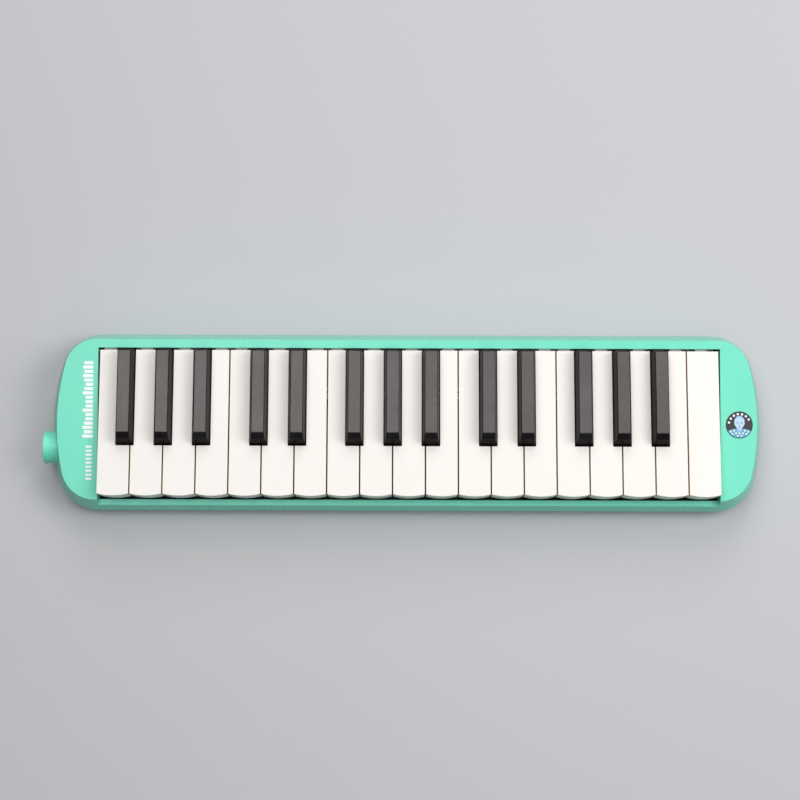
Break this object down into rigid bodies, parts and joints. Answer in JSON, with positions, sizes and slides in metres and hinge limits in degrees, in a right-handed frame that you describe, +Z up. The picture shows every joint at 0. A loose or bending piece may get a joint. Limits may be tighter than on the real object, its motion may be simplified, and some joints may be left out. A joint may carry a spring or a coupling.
{
  "type": "melodica",
  "caption": "Mint-green melodica with a blow socket at one end and a small keyboard of white and black keys over a reed chamber.",
  "frame": {"origin": "on the resting surface, under the middle of the whole instrument's bounding box", "axes": "+X along the keyboard from low notes to high notes, +Y from the player towards the rear rail, +Z up"},
  "size_m": [0.4232, 0.1052, 0.048],
  "materials": {
    "mint_plastic": "glossy moulded ABS, mint green, very fine orange peel",
    "ivory_plastic": "smooth warm white key plastic",
    "black_plastic": "satin black key plastic with polished edges",
    "chamber_plastic": "natural cream ABS, as moulded",
    "brass": "rolled brass sheet, punched",
    "steel": "bright zinc plated",
    "rubber": "soft black rubber",
    "felt": "pressed red wool felt",
    "badge_print": "printed vinyl under a clear coat"
  },
  "bodies": {
    "case": {"upper_case": "mint_plastic", "lower_case": "mint_plastic", "mouthpiece_socket": "mint_plastic", "air_duct": "chamber_plastic", "duct_seal": "rubber", "air_chamber": "chamber_plastic", "chamber_cover": "chamber_plastic", "chamber_gasket": "rubber", "reed_plate_low": "brass", "reed_plate_high": "brass", "key_comb": "chamber_plastic", "key_rod": "steel", "front_felt": "felt", "drain_spring": "steel", "case_screw_1": "steel", "case_screw_2": "steel", "case_screw_3": "steel", "case_screw_4": "steel", "chamber_screw_1": "steel", "chamber_screw_2": "steel", "rubber_foot_1": "rubber", "rubber_foot_2": "rubber", "rubber_foot_3": "rubber", "rubber_foot_4": "rubber", "badge": "badge_print"},
    "key_F3": {"white_key_F3": "ivory_plastic"},
    "key_Fs3": {"black_key_Fs3": "black_plastic"},
    "key_G3": {"white_key_G3": "ivory_plastic"},
    "key_Gs3": {"black_key_Gs3": "black_plastic"},
    "key_A3": {"white_key_A3": "ivory_plastic"},
    "key_As3": {"black_key_As3": "black_plastic"},
    "key_B3": {"white_key_B3": "ivory_plastic"},
    "key_C4": {"white_key_C4": "ivory_plastic"},
    "key_Cs4": {"black_key_Cs4": "black_plastic"},
    "key_D4": {"white_key_D4": "ivory_plastic"},
    "key_Ds4": {"black_key_Ds4": "black_plastic"},
    "key_E4": {"white_key_E4": "ivory_plastic"},
    "key_F4": {"white_key_F4": "ivory_plastic"},
    "key_Fs4": {"black_key_Fs4": "black_plastic"},
    "key_G4": {"white_key_G4": "ivory_plastic"},
    "key_Gs4": {"black_key_Gs4": "black_plastic"},
    "key_A4": {"white_key_A4": "ivory_plastic"},
    "key_As4": {"black_key_As4": "black_plastic"},
    "key_B4": {"white_key_B4": "ivory_plastic"},
    "key_C5": {"white_key_C5": "ivory_plastic"},
    "key_Cs5": {"black_key_Cs5": "black_plastic"},
    "key_D5": {"white_key_D5": "ivory_plastic"},
    "key_Ds5": {"black_key_Ds5": "black_plastic"},
    "key_E5": {"white_key_E5": "ivory_plastic"},
    "key_F5": {"white_key_F5": "ivory_plastic"},
    "key_Fs5": {"black_key_Fs5": "black_plastic"},
    "key_G5": {"white_key_G5": "ivory_plastic"},
    "key_Gs5": {"black_key_Gs5": "black_plastic"},
    "key_A5": {"white_key_A5": "ivory_plastic"},
    "key_As5": {"black_key_As5": "black_plastic"},
    "key_B5": {"white_key_B5": "ivory_plastic"},
    "key_C6": {"white_key_C6": "ivory_plastic"},
    "drain_valve": {"drain_button": "mint_plastic", "drain_seal": "rubber"}
  },
  "joints": [
    {"name": "press_F3", "type": "hinge", "parent": "case", "child": "key_F3", "pos_m": [0, 0.014, 0.0315], "axis": [1, 0, 0], "range_deg": [0, 4], "stiffness_Nm_per_rad": 0.25, "springref_deg": -6.88},
    {"name": "press_Fs3", "type": "hinge", "parent": "case", "child": "key_Fs3", "pos_m": [0, 0.014, 0.0315], "axis": [1, 0, 0], "range_deg": [0, 4], "stiffness_Nm_per_rad": 0.25, "springref_deg": -6.88},
    {"name": "press_G3", "type": "hinge", "parent": "case", "child": "key_G3", "pos_m": [0, 0.014, 0.0315], "axis": [1, 0, 0], "range_deg": [0, 4], "stiffness_Nm_per_rad": 0.25, "springref_deg": -6.88},
    {"name": "press_Gs3", "type": "hinge", "parent": "case", "child": "key_Gs3", "pos_m": [0, 0.014, 0.0315], "axis": [1, 0, 0], "range_deg": [0, 4], "stiffness_Nm_per_rad": 0.25, "springref_deg": -6.88},
    {"name": "press_A3", "type": "hinge", "parent": "case", "child": "key_A3", "pos_m": [0, 0.014, 0.0315], "axis": [1, 0, 0], "range_deg": [0, 4], "stiffness_Nm_per_rad": 0.25, "springref_deg": -6.88},
    {"name": "press_As3", "type": "hinge", "parent": "case", "child": "key_As3", "pos_m": [0, 0.014, 0.0315], "axis": [1, 0, 0], "range_deg": [0, 4], "stiffness_Nm_per_rad": 0.25, "springref_deg": -6.88},
    {"name": "press_B3", "type": "hinge", "parent": "case", "child": "key_B3", "pos_m": [0, 0.014, 0.0315], "axis": [1, 0, 0], "range_deg": [0, 4], "stiffness_Nm_per_rad": 0.25, "springref_deg": -6.88},
    {"name": "press_C4", "type": "hinge", "parent": "case", "child": "key_C4", "pos_m": [0, 0.014, 0.0315], "axis": [1, 0, 0], "range_deg": [0, 4], "stiffness_Nm_per_rad": 0.25, "springref_deg": -6.88},
    {"name": "press_Cs4", "type": "hinge", "parent": "case", "child": "key_Cs4", "pos_m": [0, 0.014, 0.0315], "axis": [1, 0, 0], "range_deg": [0, 4], "stiffness_Nm_per_rad": 0.25, "springref_deg": -6.88},
    {"name": "press_D4", "type": "hinge", "parent": "case", "child": "key_D4", "pos_m": [0, 0.014, 0.0315], "axis": [1, 0, 0], "range_deg": [0, 4], "stiffness_Nm_per_rad": 0.25, "springref_deg": -6.88},
    {"name": "press_Ds4", "type": "hinge", "parent": "case", "child": "key_Ds4", "pos_m": [0, 0.014, 0.0315], "axis": [1, 0, 0], "range_deg": [0, 4], "stiffness_Nm_per_rad": 0.25, "springref_deg": -6.88},
    {"name": "press_E4", "type": "hinge", "parent": "case", "child": "key_E4", "pos_m": [0, 0.014, 0.0315], "axis": [1, 0, 0], "range_deg": [0, 4], "stiffness_Nm_per_rad": 0.25, "springref_deg": -6.88},
    {"name": "press_F4", "type": "hinge", "parent": "case", "child": "key_F4", "pos_m": [0, 0.014, 0.0315], "axis": [1, 0, 0], "range_deg": [0, 4], "stiffness_Nm_per_rad": 0.25, "springref_deg": -6.88},
    {"name": "press_Fs4", "type": "hinge", "parent": "case", "child": "key_Fs4", "pos_m": [0, 0.014, 0.0315], "axis": [1, 0, 0], "range_deg": [0, 4], "stiffness_Nm_per_rad": 0.25, "springref_deg": -6.88},
    {"name": "press_G4", "type": "hinge", "parent": "case", "child": "key_G4", "pos_m": [0, 0.014, 0.0315], "axis": [1, 0, 0], "range_deg": [0, 4], "stiffness_Nm_per_rad": 0.25, "springref_deg": -6.88},
    {"name": "press_Gs4", "type": "hinge", "parent": "case", "child": "key_Gs4", "pos_m": [0, 0.014, 0.0315], "axis": [1, 0, 0], "range_deg": [0, 4], "stiffness_Nm_per_rad": 0.25, "springref_deg": -6.88},
    {"name": "press_A4", "type": "hinge", "parent": "case", "child": "key_A4", "pos_m": [0, 0.014, 0.0315], "axis": [1, 0, 0], "range_deg": [0, 4], "stiffness_Nm_per_rad": 0.25, "springref_deg": -6.88},
    {"name": "press_As4", "type": "hinge", "parent": "case", "child": "key_As4", "pos_m": [0, 0.014, 0.0315], "axis": [1, 0, 0], "range_deg": [0, 4], "stiffness_Nm_per_rad": 0.25, "springref_deg": -6.88},
    {"name": "press_B4", "type": "hinge", "parent": "case", "child": "key_B4", "pos_m": [0, 0.014, 0.0315], "axis": [1, 0, 0], "range_deg": [0, 4], "stiffness_Nm_per_rad": 0.25, "springref_deg": -6.88},
    {"name": "press_C5", "type": "hinge", "parent": "case", "child": "key_C5", "pos_m": [0, 0.014, 0.0315], "axis": [1, 0, 0], "range_deg": [0, 4], "stiffness_Nm_per_rad": 0.25, "springref_deg": -6.88},
    {"name": "press_Cs5", "type": "hinge", "parent": "case", "child": "key_Cs5", "pos_m": [0, 0.014, 0.0315], "axis": [1, 0, 0], "range_deg": [0, 4], "stiffness_Nm_per_rad": 0.25, "springref_deg": -6.88},
    {"name": "press_D5", "type": "hinge", "parent": "case", "child": "key_D5", "pos_m": [0, 0.014, 0.0315], "axis": [1, 0, 0], "range_deg": [0, 4], "stiffness_Nm_per_rad": 0.25, "springref_deg": -6.88},
    {"name": "press_Ds5", "type": "hinge", "parent": "case", "child": "key_Ds5", "pos_m": [0, 0.014, 0.0315], "axis": [1, 0, 0], "range_deg": [0, 4], "stiffness_Nm_per_rad": 0.25, "springref_deg": -6.88},
    {"name": "press_E5", "type": "hinge", "parent": "case", "child": "key_E5", "pos_m": [0, 0.014, 0.0315], "axis": [1, 0, 0], "range_deg": [0, 4], "stiffness_Nm_per_rad": 0.25, "springref_deg": -6.88},
    {"name": "press_F5", "type": "hinge", "parent": "case", "child": "key_F5", "pos_m": [0, 0.014, 0.0315], "axis": [1, 0, 0], "range_deg": [0, 4], "stiffness_Nm_per_rad": 0.25, "springref_deg": -6.88},
    {"name": "press_Fs5", "type": "hinge", "parent": "case", "child": "key_Fs5", "pos_m": [0, 0.014, 0.0315], "axis": [1, 0, 0], "range_deg": [0, 4], "stiffness_Nm_per_rad": 0.25, "springref_deg": -6.88},
    {"name": "press_G5", "type": "hinge", "parent": "case", "child": "key_G5", "pos_m": [0, 0.014, 0.0315], "axis": [1, 0, 0], "range_deg": [0, 4], "stiffness_Nm_per_rad": 0.25, "springref_deg": -6.88},
    {"name": "press_Gs5", "type": "hinge", "parent": "case", "child": "key_Gs5", "pos_m": [0, 0.014, 0.0315], "axis": [1, 0, 0], "range_deg": [0, 4], "stiffness_Nm_per_rad": 0.25, "springref_deg": -6.88},
    {"name": "press_A5", "type": "hinge", "parent": "case", "child": "key_A5", "pos_m": [0, 0.014, 0.0315], "axis": [1, 0, 0], "range_deg": [0, 4], "stiffness_Nm_per_rad": 0.25, "springref_deg": -6.88},
    {"name": "press_As5", "type": "hinge", "parent": "case", "child": "key_As5", "pos_m": [0, 0.014, 0.0315], "axis": [1, 0, 0], "range_deg": [0, 4], "stiffness_Nm_per_rad": 0.25, "springref_deg": -6.88},
    {"name": "press_B5", "type": "hinge", "parent": "case", "child": "key_B5", "pos_m": [0, 0.014, 0.0315], "axis": [1, 0, 0], "range_deg": [0, 4], "stiffness_Nm_per_rad": 0.25, "springref_deg": -6.88},
    {"name": "press_C6", "type": "hinge", "parent": "case", "child": "key_C6", "pos_m": [0, 0.014, 0.0315], "axis": [1, 0, 0], "range_deg": [0, 4], "stiffness_Nm_per_rad": 0.25, "springref_deg": -6.88},
    {"name": "drain_push", "type": "slide", "parent": "case", "child": "drain_valve", "axis": [0, 0, 1], "range_m": [0, 0.0018], "stiffness_N_per_m": 300, "springref_m": -0.0015, "deforming": ["drain_spring"]}
  ]
}
